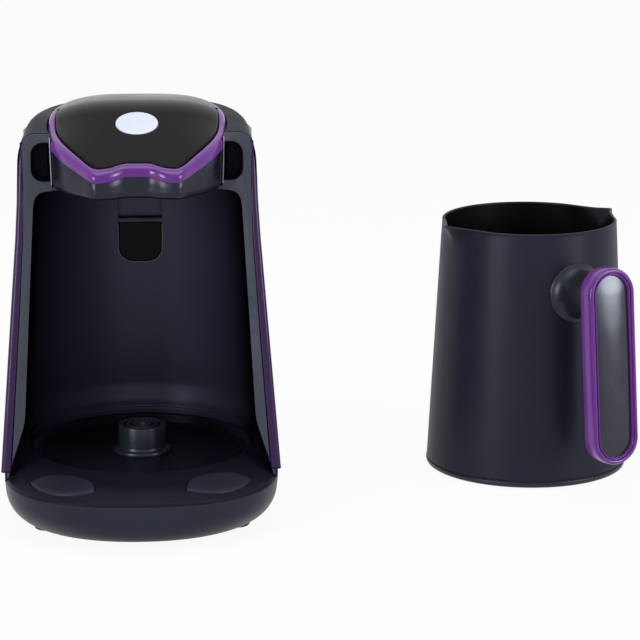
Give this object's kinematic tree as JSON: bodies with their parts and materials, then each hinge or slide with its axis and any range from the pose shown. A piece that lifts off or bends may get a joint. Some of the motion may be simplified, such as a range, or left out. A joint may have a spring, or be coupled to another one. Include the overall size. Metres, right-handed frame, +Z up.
{
  "type": "electric turkish coffee maker",
  "caption": "Electric Turkish coffee maker: powered stand with an overhanging head, round button and cordless base, and a lift-off brewing jug with two spouts and a side handle.",
  "frame": {"origin": "centre of the set's footprint on the table, stand and jug together", "axes": "+X from the stand to the jug, +Y to the back, +Z up"},
  "size_m": [0.3661, 0.2276, 0.23],
  "materials": {
    "slate_plastic": "fine spark texture, satin",
    "dark_plastic": "satin",
    "gloss_black": "high gloss",
    "purple_gloss": "high gloss, tinted",
    "white_button": "satin gloss",
    "jug_slate": "satin coating",
    "smoked_lens": "smoked, gloss",
    "rubber": "matte",
    "seal": "matte silicone",
    "contact_metal": "bright",
    "steel": "zinc plated",
    "aluminium": "as cast",
    "board": "solder mask",
    "clear": "frosted clear",
    "component_blue": "moulded",
    "component_yellow": "taped",
    "ceramic": "fired"
  },
  "bodies": {
    "stand": {"base_pan": "slate_plastic", "rubber_feet": "rubber", "base_screws": "steel", "base_deck": "slate_plastic", "connector_tower": "dark_plastic", "tower_contacts": "contact_metal", "tower_lock_ring": "steel", "bay_liner": "dark_plastic", "rear_shell": "slate_plastic", "side_panel_left": "purple_gloss", "side_panel_right": "purple_gloss", "head_housing": "dark_plastic", "trim_ring": "purple_gloss", "lid_panel": "gloss_black", "sensor_window": "smoked_lens", "sensor_board": "board", "control_board": "board", "board_screws": "steel", "switch_body": "dark_plastic", "status_led": "clear", "buzzer": "dark_plastic", "power_board": "board", "relay": "component_blue", "transformer": "component_yellow", "cord_gland": "rubber"},
    "button": {"button_cap": "white_button", "button_stem": "clear", "switch_plunger": "ceramic"},
    "jug": {"jug_shell": "jug_slate", "jug_foot": "dark_plastic", "jug_socket": "dark_plastic", "socket_contacts": "contact_metal", "heater_plate": "aluminium", "heating_element": "steel", "thermostat": "ceramic", "foot_seal": "seal", "jug_screws": "steel", "handle_bracket": "dark_plastic", "handle_shell": "dark_plastic", "handle_trim": "purple_gloss", "handle_face": "gloss_black", "handle_screws": "steel"}
  },
  "joints": [
    {"name": "button_press", "type": "slide", "parent": "stand", "child": "button", "axis": [0, 0.3665, -0.9304], "range_m": [0, 0.0012], "stiffness_N_per_m": 400, "springref_m": -0.001},
    {"name": "jug_lift", "type": "slide", "parent": "stand", "child": "jug", "axis": [0, 0, 1], "range_m": [0, 0.12]}
  ]
}
